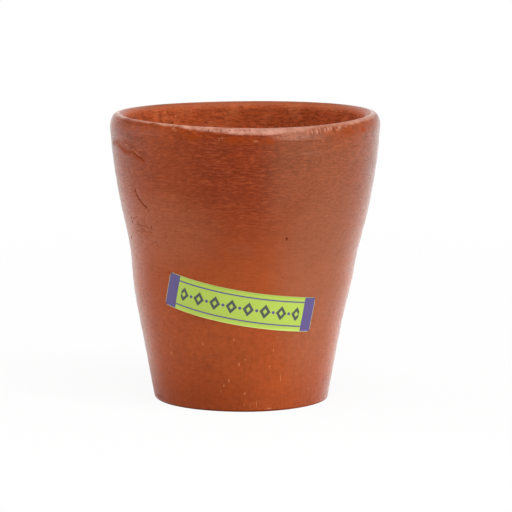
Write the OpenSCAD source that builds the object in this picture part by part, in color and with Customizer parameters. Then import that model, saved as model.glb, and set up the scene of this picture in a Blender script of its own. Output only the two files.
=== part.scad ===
// Clay kulhad: a wheel-thrown, unglazed terracotta tea cup with a paper label on its wall.
// Millimetres, +Z up. The origin is the centre of the flat foot, and -Y is the side with the label.

/* [Cup] */
// Height from the foot to the top of the lip
cup_h = 90; // [82:1:110]
// Outer diameter across the lip
lip_d = 85; // [80:0.5:95]
// Outer diameter at the foot, where the wall's line meets the ground
foot_d = 54.8; // [46:0.1:62]
// Radius of the worn edge round the foot
foot_edge_r = 1.1; // [0.6:0.1:3]

/* [Wall outside] */
// Height of the middle of the lower wall
lower_z = 22; // [12:0.5:28]
// Outer diameter at the middle of the lower wall
lower_d = 62.9; // [60:0.1:65]
// Height of the belly, the fullest place of the lower wall
belly_z = 38; // [30:0.5:42]
// Outer diameter at the belly
belly_d = 69.2; // [66:0.1:71]
// Height of the waist, where the wall turns outwards
waist_z = 47; // [44:0.5:54]
// Outer diameter at the waist
waist_d = 71.7; // [70:0.1:75]
// Height of the shoulder, where the wall straightens towards the lip
shoulder_z = 62; // [56:0.5:66]
// Outer diameter at the shoulder
shoulder_d = 78.4; // [75:0.1:82]
// Distance from the top of the lip down to the collar, where the wall stands nearly upright
collar_drop = 10; // [7:0.5:14]
// Outer diameter at the collar
collar_d = 84; // [81:0.1:86]

/* [Lip] */
// Thickness of the rounded lip
lip_t = 5; // [3.6:0.1:6]
// Distance from the top of the lip down to its widest place, where its outside begins to round
lip_h = 4.2; // [2.5:0.1:6]
// Distance from the top of the lip down to the middle of the tool groove below it
groove_drop = 7.4; // [6:0.1:12]
// Height of the tool groove
groove_h = 2.8; // [1.2:0.1:4]
// Depth of the tool groove
groove_depth = 0.2; // [0.1:0.05:0.6]

/* [Inside] */
// Thickness of the floor
floor_t = 7; // [4:0.5:12]
// Radius of the corner between the floor and the wall
floor_corner_r = 9; // [4:0.5:14]
// Wall thickness at the floor
wall_low_t = 6.4; // [4.5:0.1:8]
// Wall thickness just below the lip
wall_high_t = 4.3; // [3.2:0.1:4.8]
// Height of one finger ring that throwing left in the wall
ring_pitch = 8; // [5:0.5:15]
// Depth of a finger ring
ring_depth = 0.3; // [0.1:0.05:0.8]

/* [Label] */
// Length of the paper label
label_l = 49.5; // [30:0.5:70]
// Height of the paper label
label_h = 11.2; // [6:0.1:18]
// How far the label's ends are cut below its middle, to suit the taper of the wall
label_bow = 0.8; // [0:0.1:3]
// Radius of the label's corners
label_corner_r = 1; // [0.5:0.1:3]
// Thickness of the paper
label_t = 0.12; // [0.08:0.01:0.3]
// Thickness of the glue between the paper and the wall
glue_t = 0.03; // [0.02:0.01:0.1]
// Height of the label's centre
label_z = 33.7; // [18:0.1:60]
// Turn of the label's centre round the cup, from the front towards the right
label_turn = -1; // [-180:1:180]
// Tilt of the label, its right end down
label_tilt = 10; // [-20:1:20]

/* [Hidden] */
// Steps in each round edge of the profile
edge_steps = 10;
// Steps along the outside wall
wall_steps = 44;
// Steps along one finger ring
ring_steps = 8;
// Steps along the straight of the label
label_steps = 30;
// Steps across the label
label_rows = 4;
// Steps round one corner of the label
corner_steps = 4;
// Steps round the cup
turn_steps = 128;

clay_colour = [0.62, 0.30, 0.17];
paper_colour = [0.70, 0.80, 0.33];

// The lip is a quarter of an ellipse outside and a quarter round inside, which meet at its top
lip_r = lip_t / 2;
lip_z = cup_h - lip_h;
lip_inner_z = cup_h - lip_r;
collar_z = cup_h - collar_drop;

// Outside wall: [height, radius] where the potter set its width
stations = [
    [0, foot_d / 2],
    [lower_z, lower_d / 2],
    [belly_z, belly_d / 2],
    [waist_z, waist_d / 2],
    [shoulder_z, shoulder_d / 2],
    [collar_z, collar_d / 2],
    [lip_z, lip_d / 2],
];
last = len(stations) - 1;

// Slope of the straight line from one station to the next
function chord(i) =
    (stations[i + 1].y - stations[i].y) / (stations[i + 1].x - stations[i].x);

// Slope of the smooth wall at a station: its two chords, the nearer one weighing more
function slope(i) =
    i == 0 ? chord(0) :
    i == last ? chord(last - 1) :
    let (below = stations[i].x - stations[i - 1].x, above = stations[i + 1].x - stations[i].x)
    (chord(i - 1) * above + chord(i) * below) / (below + above);

// The stretch between two stations that holds a height
function stretch(z, i = 0) = i < last - 1 && z > stations[i + 1].x ? stretch(z, i + 1) : i;

// Radius of the smooth wall: a cubic through the stations with the slopes above
function smooth_r(z) =
    let (
        i = stretch(z),
        step = stations[i + 1].x - stations[i].x,
        t = (z - stations[i].x) / step
    )
    stations[i].y * (1 + 2 * t) * pow(1 - t, 2)
    + step * slope(i) * t * pow(1 - t, 2)
    + stations[i + 1].y * t * t * (3 - 2 * t)
    + step * slope(i + 1) * t * t * (t - 1);

// Depth of the tool groove at a height: a single wave
function groove(z) =
    let (away = abs(z - (cup_h - groove_drop)))
    away > groove_h / 2 ? 0 : groove_depth * (1 + cos(360 * away / groove_h)) / 2;

// Outside radius
function outer_r(z) = smooth_r(z) - groove(z);

// Outside slope at the foot and its angle from upright
foot_lean = atan(slope(0));

// The foot's edge is an arc that runs into the wall without a corner
foot_top_z = foot_edge_r * (1 - sin(foot_lean));
foot_centre_r = outer_r(foot_top_z) - foot_edge_r * cos(foot_lean);

// Inside: the rings fade in above the floor's corner and out below the lip
wall_bottom_z = floor_t + floor_corner_r;
ring_count = floor((lip_inner_z - wall_bottom_z) / ring_pitch);
ring_top_z = wall_bottom_z + ring_count * ring_pitch;

// Wall thickness between the rings, from the floor up to the lip
function wall_t(z) =
    wall_low_t + (wall_high_t - wall_low_t) * (z - floor_t) / (lip_inner_z - floor_t);

// How deep a finger ring is at a height
function ring(z) =
    z > ring_top_z ? 0 : ring_depth * (1 - cos(360 * (z - wall_bottom_z) / ring_pitch)) / 2;

// Inside radius below the lip, blended into the lip's thickness over the last ring
function blend(z) = min(1, max(0, (z - (lip_inner_z - ring_pitch)) / ring_pitch));
function inner_r(z) =
    smooth_r(min(z, lip_z)) - wall_t(z) + ring(z) - (lip_t - wall_high_t) * pow(blend(z), 2);

// Points on an ellipse of a half width and a half height, from one angle to another
function arc(centre, half_w, half_h, from, to) = [
    for (i = [0 : edge_steps])
        let (a = from + (to - from) * i / edge_steps)
        centre + [half_w * cos(a), half_h * sin(a)]
];

// Half of the cup's section, from the middle of the foot round to the middle of the floor
function outside_points() = [
    for (i = [1 : wall_steps])
        let (z = foot_top_z + (lip_z - foot_top_z) * i / wall_steps)
        [outer_r(z), z]
];

function inside_points() =
    let (count = ceil((lip_inner_z - wall_bottom_z) * ring_steps / ring_pitch))
    [
        for (i = [1 : count])
            let (z = lip_inner_z + (wall_bottom_z - lip_inner_z) * i / count)
            [inner_r(z), z]
    ];

module cup_section() {
    corner = [inner_r(wall_bottom_z) - floor_corner_r, wall_bottom_z];
    polygon(concat(
        [[0, 0]],
        arc([foot_centre_r, foot_edge_r], foot_edge_r, foot_edge_r, -90, -foot_lean),
        outside_points(),
        arc([lip_d / 2 - lip_r, lip_z], lip_r, lip_h, 0, 90),
        arc([lip_d / 2 - lip_r, lip_inner_z], lip_r, lip_r, 90, 180),
        inside_points(),
        arc(corner, floor_corner_r, floor_corner_r, 0, -90),
        [[0, floor_t]]
    ));
}

// One thrown wall with its lip, foot and floor, fired as a single piece of clay
module cup_body() {
    color(clay_colour)
        rotate_extrude($fn = turn_steps)
            cup_section();
}

// The label lies on the wall as it would on the cone that touches the wall at the label's centre.
// Unrolled, that cone is a sector, and the label is a bowed rectangle in it.
label_lean = atan((smooth_r(label_z + label_h / 2) - smooth_r(label_z - label_h / 2)) / label_h);
sector_r = smooth_r(label_z) / sin(label_lean);

// A place on the label, u along it and v across it, lifted off the wall
function on_wall(u, v, lift) =
    let (
        rise = v - label_bow * pow(2 * u / label_l, 2),
        across = u * cos(label_tilt) + rise * sin(label_tilt),
        up = sector_r - u * sin(label_tilt) + rise * cos(label_tilt),
        angle = label_turn + atan2(across, up) / sin(label_lean),
        z = label_z + (norm([across, up]) - sector_r) * cos(label_lean),
        r = outer_r(z) + lift
    )
    [r * sin(angle), -r * cos(angle), z];

// Places along the label: round one end's corners, along the straight, round the other end's corners
label_straight = label_l - 2 * label_corner_r;
label_columns = concat(
    [for (i = [0 : corner_steps - 1]) -label_straight / 2 - label_corner_r * cos(90 * i / corner_steps)],
    [for (i = [0 : label_steps]) label_straight / 2 * (2 * i / label_steps - 1)],
    [for (i = [1 : corner_steps]) label_straight / 2 + label_corner_r * sin(90 * i / corner_steps)]
);

// Half of the label's height at a place along it, less at the rounded corners
function half_height(u) =
    let (past = max(0, abs(u) - label_straight / 2))
    label_h / 2 - label_corner_r + sqrt(max(0, pow(label_corner_r, 2) - past * past));

function label_layer(lift) = [
    for (u = label_columns, row = [0 : label_rows])
        on_wall(u, half_height(u) * (2 * row / label_rows - 1), lift)
];

// Paper strip wrapped round the wall and glued to it
module paper_label() {
    columns = len(label_columns);
    rows = label_rows + 1;
    layer = columns * rows;
    place = function (column, row, side) side * layer + column * rows + row;

    // The two faces of the paper, then its long edges, then its ends
    faces = concat(
        [
            for (c = [0 : columns - 2], r = [0 : rows - 2], side = [0, 1])
                let (
                    a = place(c, r, side),
                    b = place(c + 1, r, side),
                    d = place(c + 1, r + 1, side),
                    e = place(c, r + 1, side)
                )
                each side == 1 ? [[a, d, b], [a, e, d]] : [[a, b, d], [a, d, e]]
        ],
        [
            for (c = [0 : columns - 2], edge = [0, 1])
                let (
                    r = edge * (rows - 1),
                    a = place(c, r, 0),
                    b = place(c + 1, r, 0),
                    d = place(c + 1, r, 1),
                    e = place(c, r, 1)
                )
                each edge == 0 ? [[a, d, b], [a, e, d]] : [[a, b, d], [a, d, e]]
        ],
        [
            for (r = [0 : rows - 2], edge = [0, 1])
                let (
                    c = edge * (columns - 1),
                    a = place(c, r, 0),
                    b = place(c, r + 1, 0),
                    d = place(c, r + 1, 1),
                    e = place(c, r, 1)
                )
                each edge == 0 ? [[a, b, d], [a, d, e]] : [[a, d, b], [a, e, d]]
        ]
    );

    color(paper_colour)
        polyhedron(points = concat(label_layer(glue_t), label_layer(glue_t + label_t)), faces = faces);
}

cup_body();
paper_label();
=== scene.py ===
"""Looks of a clay kulhad: a thrown terracotta cup and its paper label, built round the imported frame.

Every surface is worked out with numpy in the frame's own metres. A place on the cup is given by its turn,
which is 0 at the front (-Y) and grows towards +X, and by its height above the ground.
"""

import bpy
import numpy as np
from bpy.props import FloatProperty, FloatVectorProperty, PointerProperty
from bpy.types import Operator, Panel, PropertyGroup
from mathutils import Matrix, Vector


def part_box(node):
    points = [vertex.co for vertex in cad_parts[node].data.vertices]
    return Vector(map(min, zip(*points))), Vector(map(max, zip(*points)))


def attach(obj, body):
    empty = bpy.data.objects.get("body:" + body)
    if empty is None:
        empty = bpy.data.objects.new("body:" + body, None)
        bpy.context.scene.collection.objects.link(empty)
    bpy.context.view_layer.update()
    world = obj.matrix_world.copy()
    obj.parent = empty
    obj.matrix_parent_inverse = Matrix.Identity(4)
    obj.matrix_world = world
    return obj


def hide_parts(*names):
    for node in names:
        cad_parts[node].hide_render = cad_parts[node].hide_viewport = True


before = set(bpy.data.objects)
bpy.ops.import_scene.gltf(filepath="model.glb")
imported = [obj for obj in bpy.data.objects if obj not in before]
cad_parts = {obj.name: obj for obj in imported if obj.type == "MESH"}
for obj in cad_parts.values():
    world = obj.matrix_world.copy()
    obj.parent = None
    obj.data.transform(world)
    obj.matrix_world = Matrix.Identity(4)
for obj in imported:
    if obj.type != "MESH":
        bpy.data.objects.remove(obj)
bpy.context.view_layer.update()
CUP_LOW, CUP_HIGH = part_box("cup_body")

bl_info = {
    "name": "Clay kulhad",
    "version": (1, 0, 0),
    "blender": (4, 5, 0),
    "location": "3D View > Sidebar > Kulhad",
    "description": "Throws a terracotta tea cup, sticks a paper label on it and sets up a studio",
    "category": "Add Mesh",
}

MM = 0.001
FULL_TURN = 2 * np.pi

# Outputs of the Light Path node for camera, glossy and transmission rays
SEEN_RAYS = ("Is Camera Ray", "Is Glossy Ray", "Is Transmission Ray")

# Rows of the cup's grid in each stretch of its section, and columns round it
ROWS = {"base": 26, "foot": 8, "outside": 165, "lip": 24, "inside": 52, "corner": 10, "floor": 18}
COLUMNS = 320

# Power that crowds the rows of the inside towards the lip
INSIDE_CROWDING = 1.35

# Steps of the label's grid
LABEL_STEPS = 90
LABEL_ROWS = 16
LABEL_CORNER_STEPS = 6

# How the lip rises and falls round the cup: each wave's height, lobes, and turn of a crest in degrees
LIP_SWAY = [(0.36 * MM, 2, -78), (0.18 * MM, 1, 148), (0.06 * MM, 3, -47), (0.03 * MM, 4, -20)]
LIP_RISE = 0.33 * MM

# How the wall departs from a true circle, in the same form
OUT_OF_ROUND = [(0.16 * MM, 2, 40), (0.10 * MM, 3, 15), (0.06 * MM, 5, 65)]

# Wheel ridges on the wall: height, rise in one turn of the wheel, starts round the cup, and phase in radians
RIDGES = [(0.02 * MM, 6.2 * MM, 1, 0.0), (0.012 * MM, 3.7 * MM, 2, 1.0)]

# Share of the tool groove's depth on the left and on the right, and where one changes to the other, as the
# sine of the turn from a place just left of the front
GROOVE_LEFT = 0.25
GROOVE_RIGHT = 0.5
GROOVE_CHANGE = (-0.2, 0.4)
GROOVE_TURN = -0.2

# Turn in degrees of the foot's least worn side, and where the edge grows keen, as the cosine of the turn
# from that side
KEEN_FOOT = 75
KEEN_CHANGE = (-0.1, 0.5)

# Arcs of the cutting string on the base, which fade out at these shares of the foot's radius
STRING_CENTRE = (30 * MM, -6 * MM)
STRING_PITCH = 3.4 * MM
STRING_HEIGHT = 0.12 * MM
STRING_FLATTENING = 1.6
STRING_FADE_SHARES = (0.7, 0.95)

# Spiral on the floor inside, between its middle and its edge, and the hump in its middle
SPIRAL_PITCH = 4.5 * MM
SPIRAL_HEIGHT = 0.25 * MM
SPIRAL_MIDDLE = (0, 5 * MM)
SPIRAL_EDGE = (10 * MM, 15 * MM)
HUMP_HEIGHT = 0.5 * MM
HUMP_EDGE = (0, 6 * MM)

# Shares of the way over the lip, from outside to inside, where the finish of the inside begins and is full,
# where the lip's own finish narrows, and where the rubbed band ends
INSIDE_BEGINS = (0.5, 0.8)
LIP_NARROWS = (0.5, 0.6)
RUBBED_ENDS = (0.5, 0.62)

# How far the lip's finish reaches down, outside and inside
LIP_REACH_OUT = 2.6 * MM
LIP_REACH_IN = 1.2 * MM

# Scars on the wall, as [turn in degrees, height in metres] from end to end
CREASE = [
    (-78, 82.0 * MM), (-70.5, 82.5 * MM), (-65.8, 82.3 * MM), (-61.5, 82.9 * MM), (-59, 82.1 * MM),
    (-56.4, 82.0 * MM), (-54, 81.2 * MM), (-51.9, 80.4 * MM), (-49.7, 79.9 * MM), (-47.9, 79.1 * MM),
]
FOLD = [
    (-68.3, 81.8 * MM), (-64.7, 81.1 * MM), (-61.8, 80.4 * MM), (-58.1, 80.3 * MM), (-55.7, 80.7 * MM),
    (-53.6, 80.0 * MM), (-52.2, 79.5 * MM), (-49.4, 79.0 * MM), (-48.2, 78.5 * MM),
]
CRACK = [
    (-57.3, 68.6 * MM), (-56.8, 67.3 * MM), (-55.0, 65.8 * MM), (-53.0, 64.7 * MM), (-51.7, 64.1 * MM),
    (-50.4, 63.6 * MM),
]
WRINKLES = [
    [(-63.8, 55.3 * MM), (-56.6, 55.6 * MM), (-49.8, 55.7 * MM)],
    [(-61.2, 57.5 * MM), (-53.0, 57.4 * MM), (-50.0, 56.9 * MM)],
    [(-64.4, 59.1 * MM), (-59.4, 60.1 * MM)],
    [(-61.5, 53.9 * MM), (-58.9, 53.2 * MM)],
    [(-50.7, 52.2 * MM), (-47.2, 53.0 * MM)],
    [(-47.6, 52.1 * MM), (-46.4, 51.2 * MM)],
    [(-49.1, 63.1 * MM), (-49.4, 62.1 * MM)],
    [(-53.2, 60.4 * MM), (-53.5, 59.4 * MM)],
    [(14, 86.0 * MM), (25.5, 85.6 * MM), (33, 85.5 * MM)],
]

# Relief of the scars: the path, how far it stands out or sinks in, and how far that spreads
SCARS = [(CREASE, 0.14 * MM, 0.9 * MM), (FOLD, -0.2 * MM, 0.9 * MM), (CRACK, -0.1 * MM, 0.6 * MM)]
SCARS += [(path, -0.06 * MM, 0.6 * MM) for path in WRINKLES]

# Single marks on the wall: turn in degrees, then height, half width and half height in millimetres
GRIT = [
    (-23.1, 21.8, 0.35, 0.55), (-5.1, 23.6, 0.45, 0.5), (17.7, 19.8, 0.4, 0.45), (15.9, 14.6, 0.45, 0.4),
    (1.1, 17.1, 0.4, 0.4), (-2.4, 15.5, 0.4, 0.7), (-8.6, 10.2, 0.45, 0.7), (-11.8, 8.6, 0.4, 0.6),
    (1.1, 6.1, 0.7, 0.4), (-13.9, 6.6, 0.3, 0.5), (23.5, 10.5, 0.25, 1.8), (0.6, 2.4, 0.2, 0.8),
    (4.4, 2.2, 0.2, 1.0), (8.6, 2.6, 0.25, 1.2), (17.0, 0.9, 1.6, 0.35),
]
PITS = [
    (20.5, 55.4, 0.6, 0.7), (-5.4, 89.3, 0.3, 0.2), (-3.2, 89.2, 0.25, 0.2), (-1.2, 89.3, 0.3, 0.2),
    (0.8, 89.2, 0.25, 0.2), (2.9, 89.4, 0.3, 0.2), (-49.0, 57.4, 0.35, 0.75), (-66.6, 59.2, 0.45, 0.45),
    (-66.5, 58.0, 0.5, 0.35), (-74.1, 52.3, 0.6, 0.6), (-14.5, 88.9, 0.2, 0.9), (-9.2, 89.2, 0.16, 0.7),
]
SMUDGE = (-0.7, 52.0, 7.0, 2.6)
# Painted shade at the foot's left corner
FOOT_CORNER_SHADE = (-68.0, 2.0, 8.0, 1.1)
CRINKLED = (-57.0, 56.5, 7.5, 5.5)
# Painted sheen: the broad highlight of the right light, as a paler tone
RIGHT_SHEEN = (44.0, 48.0, 27.0, 50.0)
# Painted sheen: the reflection high on the left, as a paler tone
LEFT_SHEEN = (-38.0, 57.0, 26.0, 15.0)
CHIPS = [
    (-31.0, 89.2, 0.9, 0.5), (-29.6, 88.6, 0.6, 0.45), (-22.2, 89.0, 0.9, 0.35), (-8.4, 86.95, 0.9, 0.25),
    (-9.8, 86.5, 0.3, 0.6), (5.4, 86.0, 1.0, 0.45), (42.7, 88.5, 0.8, 0.45), (-60.2, 82.6, 1.2, 0.35),
    (-52.1, 80.6, 0.6, 0.4), (-50.6, 62.8, 0.3, 0.6), (-49.6, 61.5, 0.25, 0.6), (-47.4, 61.4, 0.2, 0.4),
    (-55.0, 88.6, 0.5, 0.5),
]
RUST = [
    (49.0, 87.5, 4.6, 1.5), (-51.0, 88.3, 5.5, 1.2), (-2.0, 86.2, 8.0, 1.5), (-60.5, 81.6, 2.4, 0.8),
    (10.0, 86.0, 3.0, 1.5), (-24.0, 87.0, 5.0, 1.2), (60.0, 87.6, 3.0, 1.2), (-40.5, 43.5, 0.9, 0.8),
    (-39.9, 55.1, 0.9, 0.5), (-44.6, 51.6, 1.2, 0.45), (-69.9, 46.6, 0.6, 1.0),
]

# Worn marks across the lip, in the form of the single marks
NICKS = (39.0, 88.3, 12.0, 1.7)
BARE_PATCH = (49.0, 87.4, 3.8, 2.1)
RUBBED_PATCH = (20.0, 87.4, 7.5, 2.2)

# Lower edge of the pale band on the lip, rubbed and partly a painted highlight: turn in degrees and height
# in millimetres
RUBBED = [
    (-180, 89.8), (-40, 89.7), (-27, 89.4), (-21, 89.0), (-9, 88.5), (-1, 88.2), (6, 88.1), (14, 88.3),
    (30, 88.5), (42, 89.0), (55, 89.3), (90, 89.5), (180, 89.8),
]

# Noises in the clay: cells in a metre along x, y and z, a shift, the detail and its roughness
NOISES = {
    "broad": ((24, 24, 20), 3.0, 1.0, 0.5),
    "mottle": ((150, 150, 170), 7.0, 3.0, 0.55),
    "blotch": ((210, 210, 260), 4.0, 3.0, 0.6),
    "band": ((40, 40, 1400), 1.0, 2.0, 0.6),
    "line": ((520, 520, 2600), 2.0, 2.0, 0.6),
    "draw": ((140, 140, 2200), 6.0, 1.0, 0.5),
    "rough": ((480, 480, 1300), 8.0, 3.0, 0.6),
    "drag": ((450, 450, 2000), 3.0, 2.0, 0.6),
    "grain": ((1500, 1500, 1500), 0.0, 2.0, 0.6),
    "fleck": ((800, 800, 800), 2.0, 1.0, 0.5),
}

# The same for brush streaks, on a cylinder round the cup
STREAK = ((1100, 1100, 260), 5.0, 2.0, 0.6)

# Scattered pits and grit: cells in a metre, a shift, and the least and greatest radius as a share of a cell
PIT_DOTS = ((230, 230, 330), 0.0, 0.07, 0.2)
GRIT_DOTS = ((190, 190, 120), 9.0, 0.05, 0.1)

# Heights between which a tone of the wall sets in
UPPER_WALL = (36 * MM, 80 * MM)
LOWER_WALL_ENDS = (26 * MM, 46 * MM)
COLLAR = (80 * MM, 87 * MM)
# Heights of the darker, matt tone low on the left
LOW_LEFT_DARK_ENDS = (3 * MM, 24 * MM)
# Heights of the painted sheen at the sides
SIDE_SHEEN_BEGINS = (2 * MM, 16 * MM)
SIDE_SHEEN_ENDS = (58 * MM, 75 * MM)
RIGHT_DARKENS = (25 * MM, 85 * MM)
LEFT_DARKENS = (65 * MM, 85 * MM)
FOOT_DARK_ENDS = (0, 14 * MM)
FOOT_SHADOW_ENDS = (0.25 * MM, 0.8 * MM)
GRIT_ENDS = (22 * MM, 40 * MM)

# Turns in radians between which a tone of the wall sets in
BACK = (1.6, 3.0)
# Turns of the front zone where the deep coat is partly painted shade
SHADE_BEGINS = (-0.7, -0.15)
SHADE_ENDS = (0.1, 0.6)
PLAIN_BEGINS = (0.04, 0.34)
# Turns where the painted shade high on the left ends
LEFT_SHADE_ENDS = (-0.75, -0.3)
SHEEN_THINS = (0.5, 0.8)
LOW_LEFT_DARK_FADES = (-0.3, 0.5)
# Turns of the painted sheen at the sides
SIDE_SHEEN_TURNS = (0.95, 1.45)
RIGHT_LIGHT = (-0.1, 0.6)
LEFT_DARK_ENDS = (-1.1, -0.6)
RIGHT_FOOT_DARK = (0.0, 0.8)
FOOT_SHADOW_THINS = (0.3, 0.7)
RUB_THINS = (0.1, 0.4)
LIP_SIDES = (1.0, 1.45)
FOLD_SHADOW_DEEPENS = (-1.02, -0.92)

# Share by which each mark covers the clay
RIGHT_SHEEN_SHARE = 0.7
PLAIN_SHEEN_SHARE = 0.55
LEFT_SHEEN_SHARE = 0.35
LOW_LEFT_DARK_SHARE = 0.4
SIDE_SHEEN_SHARE = 0.28
PIT_SHARE = 0.8
GRIT_SHARE = 0.45
SMUDGE_SHARE = 0.15
CRACK_SHARE = 0.85
WRINKLE_SHARE = 0.3
CRINKLE_SHARE = 0.3
FOOT_CORNER_SHADE_SHARE = 0.35
FOOT_SHADOW_SHARE = 0.7
RUST_SHARE = 0.7
FOLD_RUST_AND_SHADE_SHARE = 0.65
CHIP_SHARE = 0.6

# Heights of the finest relief, which only bends the light
WHEEL_BUMP = 0.06 * MM
BRUSH_BUMP = 0.05 * MM
GRAIN_BUMP = 0.02 * MM
MOTTLE_BUMP = 0.12 * MM
INSIDE_BUMP = 0.14 * MM
FOLD_BUMP = 0.4 * MM
PIT_BUMP = 0.03 * MM
GRIT_BUMP = 0.05 * MM
PAPER_BUMP = 0.02 * MM

# How far the torn edges of the scars stray
TORN = 2.0 * MM

# The label's print: blur of the ink, width of the bare rim, cells of mottling in a metre, and its darker
# tone
INK_BLUR = 0.06 * MM
BARE_RIM = 0.1 * MM
PAPER_CELLS = (700, 700, 700)
PAPER_SHADE = (0.30, 0.44, 0.06, 1.0)

# The studio: half of the floor's side, its tone, the share of plain white that the camera sees on it near
# the cup, the distances where that grows to pure white, the output that gives a direction in the room, and
# the room's change from front to back along it
FLOOR_HALF = 6.0
FLOOR_TONE = (0.86, 0.86, 0.86, 1.0)
WHITE = (1.0, 1.0, 1.0, 1.0)
NEAR_WHITE = 0.91
WHITE_GROWS = (0.1, 0.5)
DIRECTION = 0
ROOM_CHANGE = (-0.3, 0.5)
SENSOR_WIDTH = 36.0

# Soft lights: width, height and place in metres
LIGHTS = {
    "right": (0.4, 0.9, (1.06, -0.68, 0.28)),
    "left": (0.8, 1.0, (-1.15, 0.1, 0.5)),
    "top": (1.0, 0.8, (0.25, -0.52, 1.25)),
}


# Settings that a user may change


def length(name, description, default):
    """A size in metres."""
    return FloatProperty(name=name, description=description, default=default, unit="LENGTH", precision=5)


def angle(name, description, degrees):
    """An angle, written in degrees."""
    return FloatProperty(name=name, description=description, default=np.radians(degrees), subtype="ANGLE")


def linear(level):
    """A display level from 0 to 255 as the light it stands for, from 0 to 1."""
    level = level / 255
    return level / 12.92 if level <= 0.04045 else ((level + 0.055) / 1.055) ** 2.4


def colour(name, description, red, green, blue):
    """A colour, written in display levels."""
    return FloatVectorProperty(
        name=name, description=description, subtype="COLOR", size=3, min=0, max=1,
        default=(linear(red), linear(green), linear(blue)),
    )


def number(name, description, default, subtype="FACTOR"):
    """A share or, with another subtype, a number in that subtype's unit."""
    return FloatProperty(name=name, description=description, default=default, subtype=subtype)


class CupSizes(PropertyGroup):
    """Sizes of the thrown cup."""

    height: length("Height", "From the ground to the top of the lip", CUP_HIGH.z - CUP_LOW.z)
    lip_diameter: length("Lip diameter", "Across the outside of the lip", CUP_HIGH.x - CUP_LOW.x)
    lip_thickness: length("Lip thickness", "Across the rounded lip", 5.0 * MM)
    lip_rounding: length("Lip rounding", "From the top of the lip down to its widest place", 4.2 * MM)
    foot_diameter: length("Foot diameter", "Where the wall's line meets the ground", 54.8 * MM)
    foot_edge: length("Foot edge", "Radius of the worn edge round the foot", 1.25 * MM)
    foot_keen_edge: length("Keen foot edge", "Radius of the foot's edge where it is least worn", 0.5 * MM)
    lower_height: length("Lower wall height", "Height of the lower wall's middle", 22 * MM)
    lower_diameter: length("Lower wall diameter", "Outside, at the lower wall's middle", 62.9 * MM)
    belly_height: length("Belly height", "Height of the fullest place of the lower wall", 38 * MM)
    belly_diameter: length("Belly diameter", "Outside, at the belly", 69.2 * MM)
    waist_height: length("Waist height", "Height where the wall turns outwards", 47 * MM)
    waist_diameter: length("Waist diameter", "Outside, at the waist", 71.7 * MM)
    shoulder_height: length("Shoulder height", "Height where the wall straightens", 62 * MM)
    shoulder_diameter: length("Shoulder diameter", "Outside, at the shoulder", 78.4 * MM)
    collar_height: length("Collar height", "Height where the wall stands nearly upright", 80 * MM)
    collar_diameter: length("Collar diameter", "Outside, at the collar", 84 * MM)
    groove_drop: length("Groove drop", "From the top of the lip to the tool groove", 7.4 * MM)
    groove_height: length("Groove height", "Height of the tool groove", 2.8 * MM)
    groove_depth: length("Groove depth", "Depth of the tool groove", 0.2 * MM)
    floor_thickness: length("Floor thickness", "From the ground to the floor inside", 7 * MM)
    floor_corner: length("Floor corner", "Radius between the floor and the wall", 9 * MM)
    wall_low: length("Wall at the floor", "Wall thickness at the floor", 6.4 * MM)
    wall_high: length("Wall at the lip", "Wall thickness below the lip", 4.3 * MM)
    ring_pitch: length("Finger ring pitch", "Rise of the finger rings in one turn of the wheel", 8 * MM)
    ring_depth: length("Finger ring depth", "Depth of the finger rings inside", 0.3 * MM)
    lean: length("Lean", "How far the lip stands to the right of the foot", 1.38 * MM)
    lean_low: length("Lean from", "Height where the lean begins", 22.8 * MM)
    lean_high: length("Lean to", "Height where the lean ends", 59 * MM)


class LabelSizes(PropertyGroup):
    """Sizes and place of the paper label."""

    length: length("Length", "Along the label", 49.5 * MM)
    height: length("Height", "Across the label", 11.2 * MM)
    bow: length("Bow", "How far the ends are cut below the middle, to suit the taper", 0.8 * MM)
    corner: length("Corner", "Radius of the corners", 1.0 * MM)
    thickness: length("Paper", "Thickness of the paper", 0.12 * MM)
    glue: length("Glue", "Thickness of the glue behind the paper", 0.03 * MM)
    centre: length("Centre height", "Height of the label's centre", 33.7 * MM)
    turn: angle("Turn", "Turn of the label's centre from the front", -1)
    tilt: angle("Tilt", "How far the right end drops", 10)
    band_length: length("Band length", "Length of the band at each end", 4.0 * MM)
    line_place: length("Line place", "From the middle to each long line", 3.9 * MM)
    line_width: length("Line width", "Width of the long lines", 0.44 * MM)
    pitch: length("Pitch", "From one diamond to the next", 5.25 * MM)
    diamond: length("Diamond", "Half of a diamond's length", 1.75 * MM)
    diamond_hole: length("Diamond hole", "Half of the length of a diamond's open middle", 0.7 * MM)
    diamond_slope: number("Diamond slope", "Length of a diamond against its height", 0.75)
    dot: length("Dot", "Radius of the dots", 0.5 * MM)
    margin: length("Margin", "Length without diamonds at each end", 5.4 * MM)
    field: colour("Field", "Colour of the paper's print", 176, 202, 74)
    band: colour("Bands", "Colour of the end bands and lines", 86, 72, 128)
    print: colour("Print", "Colour of the dark print", 70, 74, 70)
    core: colour("Paper core", "Colour of the bare paper at the cut edge", 206, 212, 142)
    roughness: number("Roughness", "Roughness of the printed paper", 0.5)


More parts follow.
